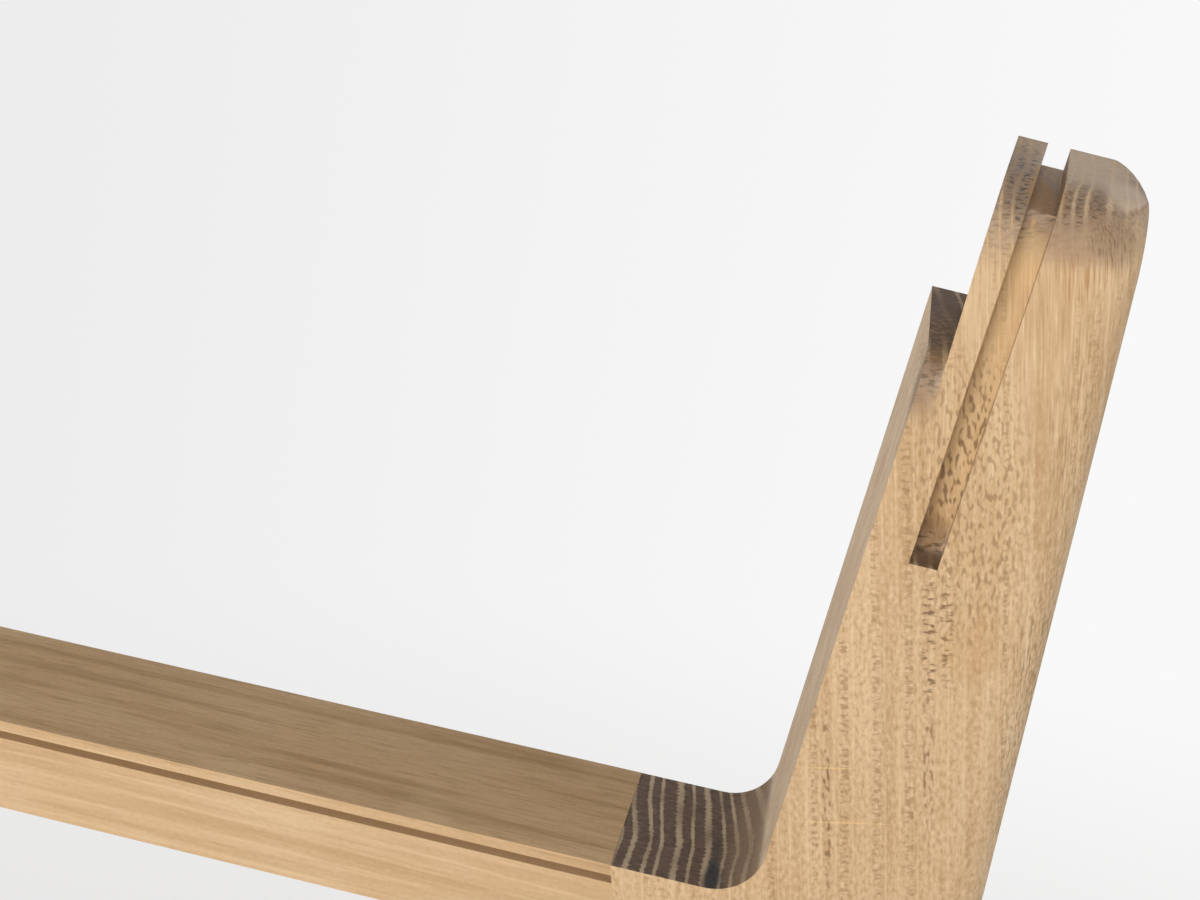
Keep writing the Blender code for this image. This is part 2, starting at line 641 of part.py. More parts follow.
block_rear = slab("corner_block_rear_right", rear_block, block_low, block_top, seat_plan, chair, beech)


# Screws that hold the seat down through the blocks
def seat_screw(name, x, v):
    """Pan head screw driven up through a block into the seat."""
    shank = BLOCK_HEIGHT + BLOCK_BELOW_RAIL_TOP + SCREW_IN_SEAT
    place = seat_plan @ Matrix.Translation((x, v, block_low - GAP))
    head = SCREW_HEAD_RADIUS
    low = -SCREW_HEAD_HEIGHT
    profile = [(0.0, low), (head * 0.6, low), (head * 0.9, low * 0.6), (head, 0.0), (SCREW_RADIUS, 0.0),
               (SCREW_RADIUS, shank - 2.0 * SCREW_RADIUS), (0.0, shank)]
    return turned(name, profile, place, chair, zinc_steel, 16)


screw_front = (-leg_clear + BLOCK_REACH * 0.28, front_face + BLOCK_REACH * 0.42)
screw_rear = (-leg_clear + BLOCK_REACH * 0.28, rear_face - BLOCK_REACH * 0.42)
for tag, (x, v), block in (("front", screw_front, block_front), ("rear", screw_rear, block_rear)):
    for sign, hand in ((1.0, "right"), (-1.0, "left")):
        seat_screw("seat_screw_" + tag + "_" + hand, sign * x, v)
        start = seat_plan @ Vector((sign * x, v, block_low - GAP))
        end = seat_plan @ Vector((sign * x, v, SCREW_IN_SEAT))
        hole = bore("seat_screw_hole_" + tag, start, end, SCREW_RADIUS)
        cut(seat_panel, hole)
        if sign > 0.0:
            cut(block, hole)
settle(seat_panel)
settle(block_front)
settle(block_rear)

# Dowels between armrest and rear leg
arm_rear_pins = []
arm_middle = -(GROOVE_BELOW_TOP + ARM_THICKNESS) / 2.0
for offset in (-0.5, 0.5):
    x = -INNER - ARM_WIDTH / 2.0 + ARM_DOWEL_PITCH * offset
    start = side(x, arm_point(-ARM_REAR_DOWEL_IN_ARM, arm_middle))
    end = side(x, arm_point(ARM_REAR_DOWEL_IN_LEG, arm_middle))
    arm_rear_pins.append((start, end))
    hole = bore("arm_rear_hole", start, end, DOWEL_RADIUS)
    cut(rear_leg, hole)
    cut(armrest, hole)

# Dowels between armrest and front leg
arm_front_pins = []
for offset in (-0.5, 0.5):
    x = -INNER - FRONT_LEG_WIDTH / 2.0 + FRONT_LEG_DOWEL_PITCH * offset
    y = LEG_FRONT_FACE + FRONT_LEG_DEPTH / 2.0
    start = side(x, (y, under_arm(y) - ARM_FRONT_DOWEL_IN_LEG))
    end = side(x, (y, under_arm(y) + ARM_FRONT_DOWEL_IN_ARM))
    arm_front_pins.append((start, end))
    hole = bore("arm_front_hole", start, end, DOWEL_RADIUS)
    cut(front_leg, hole)
    cut(armrest, hole)

# Dowels at both ends of the side rail
side_front_pins = []
side_rear_pins = []
for offset in (-0.5, 0.5):
    down = RAIL_HEIGHT / 2.0 + SIDE_RAIL_DOWEL_PITCH * offset
    z = rail_front_top - down
    start = side(-rail_mid, (LEG_REAR_FACE - SIDE_RAIL_DOWEL_IN_FRONT_LEG, z))
    end = side(-rail_mid, (LEG_REAR_FACE + SIDE_RAIL_DOWEL_IN_RAIL, z))
    side_front_pins.append((start, end))
    hole = bore("side_front_hole", start, end, DOWEL_RADIUS)
    cut(front_leg, hole)
    cut(side_rail, hole)
    z = rail_rear_top - down
    start = side(-rail_mid, (rear_leg_front(z) - SIDE_RAIL_DOWEL_IN_RAIL, z))
    end = side(-rail_mid, (rear_leg_front(z) + SIDE_RAIL_DOWEL_IN_REAR_LEG, z))
    side_rear_pins.append((start, end))
    hole = bore("side_rear_hole", start, end, DOWEL_RADIUS)
    cut(rear_leg, hole)
    cut(side_rail, hole)

# Dowels at the ends of the front and rear rails
front_rail_pins = []
rear_rail_pins = []
for offset in (-0.5, 0.5):
    for v, leg, rail, pins in ((0.0, front_leg, front_rail, front_rail_pins),
                               (REAR_RAIL_V, rear_leg, rear_rail, rear_rail_pins)):
        point = seat_point(v, -RAIL_HEIGHT / 2.0 + CROSS_RAIL_DOWEL_PITCH * offset)
        start = side(-INNER - CROSS_RAIL_DOWEL_IN_LEG, point)
        end = side(-INNER + CROSS_RAIL_DOWEL_IN_RAIL, point)
        pins.append((start, end))
        cut(leg, bore("cross_rail_hole", start, end, DOWEL_RADIUS))
        for sign in (1.0, -1.0):
            flip = Vector((sign, 1.0, 1.0))
            cut(rail, bore("cross_rail_hole", start * flip, end * flip, DOWEL_RADIUS))

# Nylon glides under the feet, each with a pin in the leg
rear_foot = (FOOT_FRONT + FOOT_REAR) / 2.0
front_foot = (foot_front_face + LEG_REAR_FACE) / 2.0
glide_places = {
    "front": (front_leg, -INNER - (FRONT_LEG_WIDTH - FRONT_LEG_TAPER) / 2.0, front_foot),
    "rear": (rear_leg, -INNER - ARM_WIDTH / 2.0, rear_foot),
}
pin_top = GLIDE_HEIGHT + GLIDE_PIN_LENGTH
glide_profile = [(0.0, 0.0), (GLIDE_RADIUS - GLIDE_EDGE, 0.0), (GLIDE_RADIUS, GLIDE_EDGE),
                 (GLIDE_RADIUS, GLIDE_HEIGHT), (GLIDE_PIN_RADIUS, GLIDE_HEIGHT),
                 (GLIDE_PIN_RADIUS, pin_top - GLIDE_PIN_POINT), (0.0, pin_top)]
for tag, (leg, x, y) in glide_places.items():
    place = Matrix.Translation(side(x, (y, 0.0)))
    glide = turned("glide_" + tag + "_right", glide_profile, place, chair, nylon)
    start = side(x, (y, FOOT_Z - GAP))
    end = side(x, (y, pin_top))
    cut(leg, bore("glide_hole_" + tag, start, end, GLIDE_PIN_RADIUS))
    mirrored(glide, "glide_" + tag + "_left").data.materials.append(nylon)

for piece in (rear_leg, armrest, front_leg, side_rail, front_rail, rear_rail):
    settle(piece)

# Left hand twins
for piece in (rear_leg, armrest, front_leg, side_rail, block_front, block_rear):
    mirrored(piece, piece.name.replace("_right", "_left"))

# Dowels of both sides
flip = Vector((-1.0, 1.0, 1.0))
for name, pins in (("arm_rear_dowel", arm_rear_pins), ("arm_front_dowel", arm_front_pins),
                   ("side_rail_front_dowel", side_front_pins), ("side_rail_rear_dowel", side_rear_pins),
                   ("front_rail_dowel", front_rail_pins), ("rear_rail_dowel", rear_rail_pins)):
    for number, (start, end) in enumerate(pins, 1):
        dowel(name + "_right_" + str(number), start, end, chair, beech)
        dowel(name + "_left_" + str(number), start * flip, end * flip, chair, beech)
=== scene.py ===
import math

import bmesh
import bpy
import numpy as np
from mathutils import Euler, Matrix, Vector


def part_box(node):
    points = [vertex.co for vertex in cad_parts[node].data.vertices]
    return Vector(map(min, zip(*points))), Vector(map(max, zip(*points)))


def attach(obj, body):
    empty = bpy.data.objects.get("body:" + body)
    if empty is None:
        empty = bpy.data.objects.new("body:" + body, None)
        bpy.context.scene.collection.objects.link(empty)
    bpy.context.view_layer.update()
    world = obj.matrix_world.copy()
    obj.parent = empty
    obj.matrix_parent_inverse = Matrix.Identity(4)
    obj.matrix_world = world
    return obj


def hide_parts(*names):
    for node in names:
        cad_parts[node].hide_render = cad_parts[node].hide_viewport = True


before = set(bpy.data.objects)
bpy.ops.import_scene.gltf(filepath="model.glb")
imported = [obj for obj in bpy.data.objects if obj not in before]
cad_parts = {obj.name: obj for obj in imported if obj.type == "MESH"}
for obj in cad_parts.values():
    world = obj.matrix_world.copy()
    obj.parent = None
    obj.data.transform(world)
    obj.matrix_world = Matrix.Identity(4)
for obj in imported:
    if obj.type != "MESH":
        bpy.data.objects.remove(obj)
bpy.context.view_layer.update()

# Viewpoint: a close look from inside the chair, from above the seat, at the joint of the right
# armrest with its rear leg. Distances run from the top inner corner of that joint, in the
# directions inward, back along the armrest and up from its top face.
ARM_SLOPE = math.radians(4.0)
JOINT = Vector((-0.235, 0.08268, 0.640))
LENS = 45.9
SENSOR_WIDTH = 36.0
NEAR_LIMIT = 0.02


def from_joint(inward, back, up):
    """World direction from components inward, back along the armrest and up from its top face."""
    y = back * math.cos(ARM_SLOPE) + up * math.sin(ARM_SLOPE)
    z = up * math.cos(ARM_SLOPE) - back * math.sin(ARM_SLOPE)
    return Vector((inward, y, z))


eye = JOINT + from_joint(0.3167, 0.0241, 0.1790)
right_of_view = from_joint(-0.1715, 0.9722, 0.1593)
top_of_view = from_joint(-0.2231, -0.1958, 0.9550)
into_view = from_joint(-0.9596, -0.1281, -0.2505)
camera_data = bpy.data.cameras.new("camera")
camera_data.sensor_width = SENSOR_WIDTH
camera_data.lens = LENS
camera_data.clip_start = NEAR_LIMIT
camera = bpy.data.objects.new("camera", camera_data)
bpy.context.scene.collection.objects.link(camera)
view_turn = Matrix((right_of_view, top_of_view, -into_view)).transposed()
camera.matrix_world = Matrix.Translation(eye) @ view_turn.to_4x4()
bpy.context.scene.camera = camera
bpy.context.scene.view_settings.view_transform = "Standard"


# Stage: a pale floor that runs into a pale backdrop without a line, under soft studio light. A wide
# soft lamp stands on the viewer's side, smaller ones before and behind the chair, and an even sky
# fills the shadows.
def linear(hexcode):
    """Linear colour of an sRGB hex value."""
    parts = np.array([int(hexcode[i:i + 2], 16) for i in (1, 3, 5)]) / 255.0
    curve = np.where(parts <= 0.04045, parts / 12.92, ((parts + 0.055) / 1.055) ** 2.4)
    return (float(curve[0]), float(curve[1]), float(curve[2]), 1.0)


def add(tree, kind, inputs=None, **settings):
    """Adds one shader node with its options; each input is set, or linked to a socket or a node."""
    made = tree.nodes.new("ShaderNode" + kind)
    for key, value in settings.items():
        setattr(made, key, value)
    for key, value in (inputs or {}).items():
        if isinstance(value, bpy.types.Node):
            value = next(socket for socket in value.outputs if socket.enabled)
        if isinstance(value, bpy.types.NodeSocket):
            tree.links.new(value, made.inputs[key])
        else:
            made.inputs[key].default_value = value
    return made


def lamp(name, place, target, width, height, power, colour):
    """Rectangular soft lamp aimed at a point."""
    data = bpy.data.lights.new(name, "AREA")
    data.shape = "RECTANGLE"
    data.size = width
    data.size_y = height
    data.energy = power
    data.color = linear(colour)[:3]
    made = bpy.data.objects.new(name, data)
    bpy.context.scene.collection.objects.link(made)
    made.location = place
    made.rotation_euler = (Vector(target) - Vector(place)).to_track_quat("-Z", "Y").to_euler()


lamp("key_lamp", place=(5.4, -1.44, 1.30), target=(-0.24, 0.12, 0.72),
     width=4.0, height=3.75, power=302.0, colour="#fffaf3")
lamp("front_lamp", place=(-0.36, -5.9, 1.22), target=(-0.26, 0.12, 0.70),
     width=3.0, height=2.5, power=76.0, colour="#fffaf4")
lamp("rear_lamp", place=(1.6, 5.0, 1.9), target=(-0.24, 0.16, 0.75),
     width=3.0, height=3.5, power=94.0, colour="#fffdf9")

SKY_STRENGTH = 0.31
BACKDROP_FROM = -0.5
BACKDROP_TO = 0.2
BACKDROP_DARK = 0.845
BACKDROP_BRIGHT = 0.945


def backdrop_level(tree, direction):
    """Brightness of the backdrop, which grows from the side before the chair to the side behind it."""
    side = add(tree, "SeparateXYZ", {0: direction})
    return add(tree, "MapRange", {0: side.outputs["Y"], 1: BACKDROP_FROM, 2: BACKDROP_TO,
                                  3: BACKDROP_DARK, 4: BACKDROP_BRIGHT})


sky = bpy.data.worlds.new("studio")
bpy.context.scene.world = sky
sky.use_nodes = True
tree = sky.node_tree
tree.nodes.clear()
seen = add(tree, "LightPath")
shown = add(tree, "Math", {0: seen.outputs["Is Camera Ray"], 1: seen.outputs["Is Glossy Ray"]},
            operation="MAXIMUM")
shown = add(tree, "Math", {0: shown, 1: seen.outputs["Is Transmission Ray"]}, operation="MAXIMUM")
fill = add(tree, "Background", {"Color": linear("#fff6ea"), "Strength": SKY_STRENGTH})
where = add(tree, "TexCoord")
level = backdrop_level(tree, where.outputs["Generated"])
backdrop = add(tree, "Background", {"Color": linear("#ffffff"), "Strength": level})
mixed = add(tree, "MixShader", {0: shown, 1: fill, 2: backdrop})
add(tree, "OutputWorld", {"Surface": mixed})

# The floor lies just under the feet, and fades into the backdrop with its distance from the chair
FLOOR_REACH = 40.0
FLOOR_TOP = -0.0005
FLOOR_GLOW = 0.44
FADE_FROM = 0.5
FADE_TO = 2.3


def bare_finish(name):
    """A new material, with the tree that holds its shader."""
    made = bpy.data.materials.new(name)
    made.use_nodes = True
    return made, made.node_tree


corners = [(x * FLOOR_REACH, y * FLOOR_REACH, FLOOR_TOP) for x, y in ((-1, -1), (1, -1), (1, 1), (-1, 1))]
floor_mesh = bpy.data.meshes.new("floor")
floor_mesh.from_pydata(corners, [], [(0, 1, 2, 3)])
floor = bpy.data.objects.new("floor", floor_mesh)
bpy.context.scene.collection.objects.link(floor)
paint, tree = bare_finish("pale_floor_paint")
shade = tree.nodes["Principled BSDF"]
shade.inputs["Base Color"].default_value = linear("#cdd0d5")
shade.inputs["Roughness"].default_value = 0.85
shade.inputs["Emission Color"].default_value = linear("#ffffff")
seen = add(tree, "LightPath")
where = add(tree, "TexCoord")
glow = add(tree, "Math", {0: seen.outputs["Is Camera Ray"], 1: FLOOR_GLOW}, operation="MULTIPLY")
tree.links.new(glow.outputs[0], shade.inputs["Emission Strength"])
away = add(tree, "VectorMath", {0: where.outputs["Object"]}, operation="LENGTH")
away = add(tree, "MapRange", {0: away, 1: FADE_FROM, 2: FADE_TO, 3: 0.0, 4: 1.0},
           interpolation_type="SMOOTHSTEP")
away = add(tree, "Math", {0: away, 1: seen.outputs["Is Camera Ray"]}, operation="MULTIPLY")
outward = add(tree, "VectorMath", {0: where.outputs["Object"]}, operation="NORMALIZE")
distance = add(tree, "Emission", {"Color": linear("#ffffff"), "Strength": backdrop_level(tree, outward)})
mixed = add(tree, "MixShader", {0: away, 1: shade, 2: distance})
tree.links.new(mixed.outputs[0], tree.nodes["Material Output"].inputs["Surface"])
floor_mesh.materials.append(paint)

# Rear legs: each is one piece of solid oak from foot to post top, with the stub for the armrest
# and the slot for the back band. Sawn, routed and sanded, edges eased by hand, then oiled.
MERGED_WITHIN = 0.00002
FLAT_WITHIN = math.radians(0.6)
SHARP_FROM = math.radians(32.0)
FLUSH_WITHIN = 0.0006
LEG_EASING = 0.0005
JOINT_RAKE = 0.24
joint_plane = (JOINT, from_joint(0.0, 1.0, JOINT_RAKE).normalized())


def eased_copy(name, node, width, finish, flush=None):
    """The node's own shape with its doubles merged, its flats made whole and its sharp edges eased.

    Corners at the flush plane, a point and a normal, are drawn up to it and the edges there stay sharp:
    that joint was glued tight and then sanded.
    """
    shape = bmesh.new()
    shape.from_mesh(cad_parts[node].data)
    bmesh.ops.remove_doubles(shape, verts=shape.verts, dist=MERGED_WITHIN)
    bmesh.ops.dissolve_limit(shape, angle_limit=FLAT_WITHIN, verts=shape.verts, edges=shape.edges)
    flush_corners = set()
    if flush:
        point, normal = flush
        for corner in shape.verts:
            off = (corner.co - point).dot(normal)
            if abs(off) < FLUSH_WITHIN:
                corner.co -= normal * off
                flush_corners.add(corner)
    weight = shape.edges.layers.float.new("bevel_weight_edge")
    for edge in shape.edges:
        sharp = edge.calc_face_angle(0.0) > SHARP_FROM
        tight = flush_corners.issuperset(edge.verts)
        edge[weight] = 1.0 if sharp and not tight else 0.0
        edge.smooth = not (sharp and tight)
    mesh = bpy.data.meshes.new(name)
    shape.to_mesh(mesh)
    shape.free()
    mesh.materials.clear()
    mesh.materials.append(finish)
    mesh.shade_smooth()
    made = bpy.data.objects.new(name, mesh)
    bpy.context.scene.collection.objects.link(made)
    ease = made.modifiers.new("eased_edges", "BEVEL")
    ease.width = width
    ease.segments = 2
    ease.limit_method = "WEIGHT"
    ease.harden_normals = True
    flat = made.modifiers.new("flat_faces", "WEIGHTED_NORMAL")
    flat.keep_sharp = True
    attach(made, "root")
    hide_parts(node)


def tint(tree, under, over, value, low, high, most=1.0, least=0.0, masks=(), smooth=False):
    """Lays one colour over another by a value, in a share of least at low and most at high.

    The share is multiplied by each of the masks.
    """
    run = "SMOOTHSTEP" if smooth else "LINEAR"
    share = add(tree, "MapRange", {0: value, 1: low, 2: high, 3: least, 4: most}, interpolation_type=run)
    for mask in masks:
        share = add(tree, "Math", {0: share, 1: mask}, operation="MULTIPLY")
    under, over = [linear(tone) if isinstance(tone, str) else tone for tone in (under, over)]
    return add(tree, "Mix", {0: share, 6: under, 7: over}, data_type="RGBA")


NOISE_LOW = 0.3
NOISE_HIGH = 0.7


def surface(tree, colour, gloss, roughness, texture, relief, strength):
    """Ends a finish with its colour, a roughness by the gloss noise and a relief by the texture noise.

    The roughness runs between a pair of values, and the relief is in metres.
    """
    shade = tree.nodes["Principled BSDF"]
    tree.links.new(colour.outputs[2], shade.inputs["Base Color"])
    smoothest, roughest = roughness
    rough = add(tree, "MapRange", {0: gloss, 1: NOISE_LOW, 2: NOISE_HIGH, 3: smoothest, 4: roughest})
    tree.links.new(rough.outputs[0], shade.inputs["Roughness"])
    raised = add(tree, "Bump", {"Height": texture, "Distance": relief, "Strength": strength})
    tree.links.new(raised.outputs[0], shade.inputs["Normal"])


# Lengths of the oak's grain are in millimetres, and BEYOND is past the end of any piece
MM = 1000.0
BEYOND = 5000.0
OIL_SHEEN = 0.28
BEND_FROM = 16.0
BEND_TO = 50.0
RING_BEND = 4.0
RING_FAN = 0.24
UNEVEN_SCALE = 0.15
RING_UNEVEN = 1.4
RAGGED = 0.06
STREAKED_BELOW = 30.0
STREAKED_ABOVE = 25.0
SANDED_BLEND = 6.0
END_SOONER = 0.24
BREAK_FROM = 0.52
BREAK_TO = 0.65


def oiled_oak(name, turn, start, ring, figure, waver_by=2.5, streaked_from=BEYOND, sanded_from=BEYOND,
              marks=None):
    """Oiled solid oak: a matt tan that shows pores, rays, fibres and growth rings.

    The grain is measured in millimetres along the ring face, across the rings and along the fibres; the
    turn lays the fibres along the piece, and start is the grain's zero point. Growth rings have a mean
    width, waver and are uneven by slow noises, and a pale line marks each. Mottle, rows of short dark
    dashes and long fibres are stretched noises, with figure as the strength of the first two; above
    streaked_from the fibres take over from the mottle. Faces at a slant to the fibres are paler and
    streaked. Where the surface cuts the fibres, end grain takes over: dark brown between pale ring lines,
    and greyer with dotted lines above sanded_from, where it is sanded fine. Marks are egg-shaped patches
    of another colour, each even or broken up by one of the noises.
    """
    made, tree = bare_finish(name)
    tree.nodes["Principled BSDF"].inputs["Specular IOR Level"].default_value = OIL_SHEEN
    where = add(tree, "TexCoord")
    scale = Vector((-MM, MM, MM))
    moved = turn.to_matrix() @ (Vector(start) * scale)
    grain = add(tree, "Mapping", {"Vector": where.outputs["Object"], "Location": -moved, "Rotation": turn,
                                  "Scale": scale})
    axis = add(tree, "SeparateXYZ", {0: grain})
    deep = axis.outputs["X"]
    across = axis.outputs["Y"]
    along = axis.outputs["Z"]

    # Noises: sizes in millimetres along the ring face, across the rings and along the fibres, and
    # detail. Real pores and fibres are finer than these, which are as coarse as they need to show.
    sizes = {"waver": (24.0, 20.0, 90.0, 0.0), "cloud": (26.0, 22.0, 60.0, 2.0),
             "patch": (14.0, 4.0, 24.0, 1.0), "streak": (5.0, 4.0, 120.0, 2.0),
             "mottle": (1.2, 0.95, 1.5, 1.5), "rays": (0.9, 2.2, 0.9, 2.0),
             "rungs": (1.0, 2.3, 0.85, 1.0), "steps": (0.6, 2.0, 0.55, 0.5),
             "flecks": (0.8, 0.8, 2.0, 0.5), "fibres": (0.6, 0.45, 10.0, 1.0)}
    noise = {}
    for key, (a, b, c, detail) in sizes.items():
        inverse = (1.0 / a, 1.0 / b, 1.0 / c)
        stretched = add(tree, "VectorMath", {0: grain, 1: inverse}, operation="MULTIPLY")
        noise[key] = add(tree, "TexNoise", {"Vector": stretched, "Scale": 1.0, "Detail": detail,
                                            "Roughness": 0.55})

    # Growth rings: the distance across them is bent on the outer side, fans out where the end is
    # sanded fine, wavers and is uneven
    bend = add(tree, "MapRange", {0: deep, 1: BEND_FROM, 2: BEND_TO, 3: 0.0, 4: RING_BEND})
    fine = add(tree, "MapRange", {0: along, 1: sanded_from - SANDED_BLEND, 2: sanded_from + SANDED_BLEND,
                                  3: 0.0, 4: 1.0})
    fan = add(tree, "Math", {0: deep, 1: -RING_FAN}, operation="MULTIPLY")
    fan = add(tree, "Math", {0: fan, 1: fine}, operation="MULTIPLY")
    waver = add(tree, "MapRange", {0: noise["waver"], 1: 0.0, 2: 1.0, 3: -waver_by, 4: waver_by})
    outward = across
    for shift in (bend, fan, waver):
        outward = add(tree, "Math", {0: outward, 1: shift}, operation="ADD")
    uneven = add(tree, "TexNoise", {"W": outward, "Scale": UNEVEN_SCALE, "Detail": 0.0},
                 noise_dimensions="1D")
    uneven = add(tree, "MapRange", {0: uneven, 1: 0.0, 2: 1.0, 3: -RING_UNEVEN, 4: RING_UNEVEN})
    outward = add(tree, "Math", {0: outward, 1: uneven}, operation="ADD")
    count = add(tree, "Math", {0: outward, 1: ring}, operation="DIVIDE")

    # Ring lines, and the space between them, by the distance from a line as a share of the ring
    edge = add(tree, "Math", {0: count, 1: 0.5}, operation="PINGPONG")
    ragged = add(tree, "MapRange", {0: noise["rays"], 1: NOISE_LOW, 2: NOISE_HIGH, 3: -RAGGED, 4: RAGGED})
    ragged = add(tree, "Math", {0: edge, 1: ragged}, operation="ADD")
    bands = {"broad line": (ragged, 0.22, 0.08), "thin line": (edge, 0.13, 0.04),
             "fine line": (edge, 0.10, 0.03), "between": (edge, 0.20, 0.34)}
    band = {}
    for key, (distance, none_at, full_at) in bands.items():
        band[key] = add(tree, "MapRange", {0: distance, 1: none_at, 2: full_at, 3: 0.0, 4: 1.0},
                        interpolation_type="SMOOTHSTEP")

    # Only some of the rings carry rows of dashes, and the ladder's steps keep clear of the ring lines
    column = add(tree, "Math", {0: count}, operation="FLOOR")
    lot = add(tree, "TexWhiteNoise", {"W": column}, noise_dimensions="1D")
    chosen = add(tree, "Math", {0: lot, 1: noise["patch"]}, operation="ADD")
    chosen = add(tree, "MapRange", {0: chosen, 1: 0.95, 2: 1.35, 3: 0.0, 4: 1.0})
    clear = add(tree, "MapRange", {0: edge, 1: 0.16, 2: 0.28, 3: 0.3, 4: 0.0})
    ladder = add(tree, "Math", {0: noise["steps"], 1: clear}, operation="SUBTRACT")

    # Face grain: warm tan clouds, mottle, faint pale ring lines, rows of dashes, long fibres
    low = streaked_from - STREAKED_BELOW
    high = streaked_from + STREAKED_ABOVE
    mottled = add(tree, "MapRange", {0: along, 1: low, 2: high, 3: 1.0, 4: 0.2})
    streaked = add(tree, "MapRange", {0: along, 1: low, 2: high, 3: 0.35, 4: 1.0})
    face = tint(tree, "#dabe9a", "#cdad86", noise["cloud"], NOISE_LOW, NOISE_HIGH)
    face = tint(tree, face, "#b8946a", noise["streak"], 0.46, 0.70, 0.55)
    face = tint(tree, face, "#aa8961", noise["mottle"], 0.50, 0.74, 0.58 * figure, masks=[mottled])
    face = tint(tree, face, "#e8d3b2", noise["mottle"], 0.48, 0.28, 0.45 * figure, masks=[mottled])
    face = tint(tree, face, "#e8d1ac", noise["patch"], 0.35, 0.65, 0.36, 0.08, masks=[band["thin line"]])
    face = tint(tree, face, "#8f6f49", noise["rungs"], 0.48, 0.62, 0.5 * figure,
                masks=[band["between"], chosen])
    face = tint(tree, face, "#ad8a5c", noise["fibres"], 0.50, 0.74, 0.50, masks=[streaked])
    face = tint(tree, face, "#e8d1aa", noise["fibres"], 0.42, 0.26, 0.60, masks=[streaked])

    # End grain: dark brown with pale ring lines, or greyish with yellow pore rows where sanded fine
    cut = tint(tree, "#6b5441", "#4b382b", noise["rays"], 0.35, 0.65)
    cut = tint(tree, cut, "#c4b298", noise["patch"], 0.30, 0.60, 0.95, 0.45, masks=[band["broad line"]])
    sanded = tint(tree, "#ab957f", "#8a735f", noise["rungs"], 0.46, 0.64, 0.8)
    sanded = tint(tree, sanded, "#cda873", noise["mottle"], 0.44, 0.58, 0.85, masks=[band["fine line"]])
    end = add(tree, "Mix", {0: fine, 6: cut, 7: sanded}, data_type="RGBA")
    face = tint(tree, face, sanded, along, sanded_from - 14.0, sanded_from - 2.0, 0.9, smooth=True)

    # The fibres' direction tells faces, slanted faces and cut ends apart
    fibre = turn.to_matrix().transposed() @ Vector((0.0, 0.0, 1.0))
    facing = add(tree, "VectorMath", {0: where.outputs["Normal"], 1: (-fibre.x, fibre.y, fibre.z)},
                 operation="DOT_PRODUCT")
    facing = add(tree, "Math", {0: facing}, operation="ABSOLUTE")
    coarse = add(tree, "MapRange", {0: along, 1: sanded_from - 20.0, 2: sanded_from - 8.0, 3: 1.0, 4: 0.0})
    slanted = tint(tree, "#e2d2bd", "#cfb99f", noise["streak"], 0.35, 0.65)
    slanted = tint(tree, slanted, "#bfa283", noise["fibres"], 0.46, 0.70, 0.6)
    colour = tint(tree, face, slanted, facing, 0.15, 0.36, 0.95, masks=[coarse], smooth=True)
    sooner = add(tree, "Math", {0: fine, 1: END_SOONER}, operation="MULTIPLY")
    sooner = add(tree, "Math", {0: facing, 1: sooner}, operation="ADD")
    colour = tint(tree, colour, end, sooner, 0.42, 0.86, smooth=True)

    # Marks: each is full in the middle of its reach and gone at the rim
    breaks = dict(noise, ladder=ladder, ends=facing)
    for middle, reach, broken_by, hexcode, strength in (marks or {}).values():
        inverse = Vector([1.0 / r for r in reach])
        inside = add(tree, "VectorMath", {0: grain, 1: inverse, 2: -Vector(middle) * inverse},
                     operation="MULTIPLY_ADD")
        inside = add(tree, "VectorMath", {0: inside}, operation="LENGTH")
        masks = []
        if broken_by:
            masks = [add(tree, "MapRange", {0: breaks[broken_by], 1: BREAK_FROM, 2: BREAK_TO,
                                            3: 0.0, 4: 1.0})]
        colour = tint(tree, colour, hexcode, inside, 1.0, 0.4, strength, masks=masks, smooth=True)
    surface(tree, colour, noise["mottle"], (0.52, 0.66), noise["mottle"], 0.00010, 0.5)
    return made


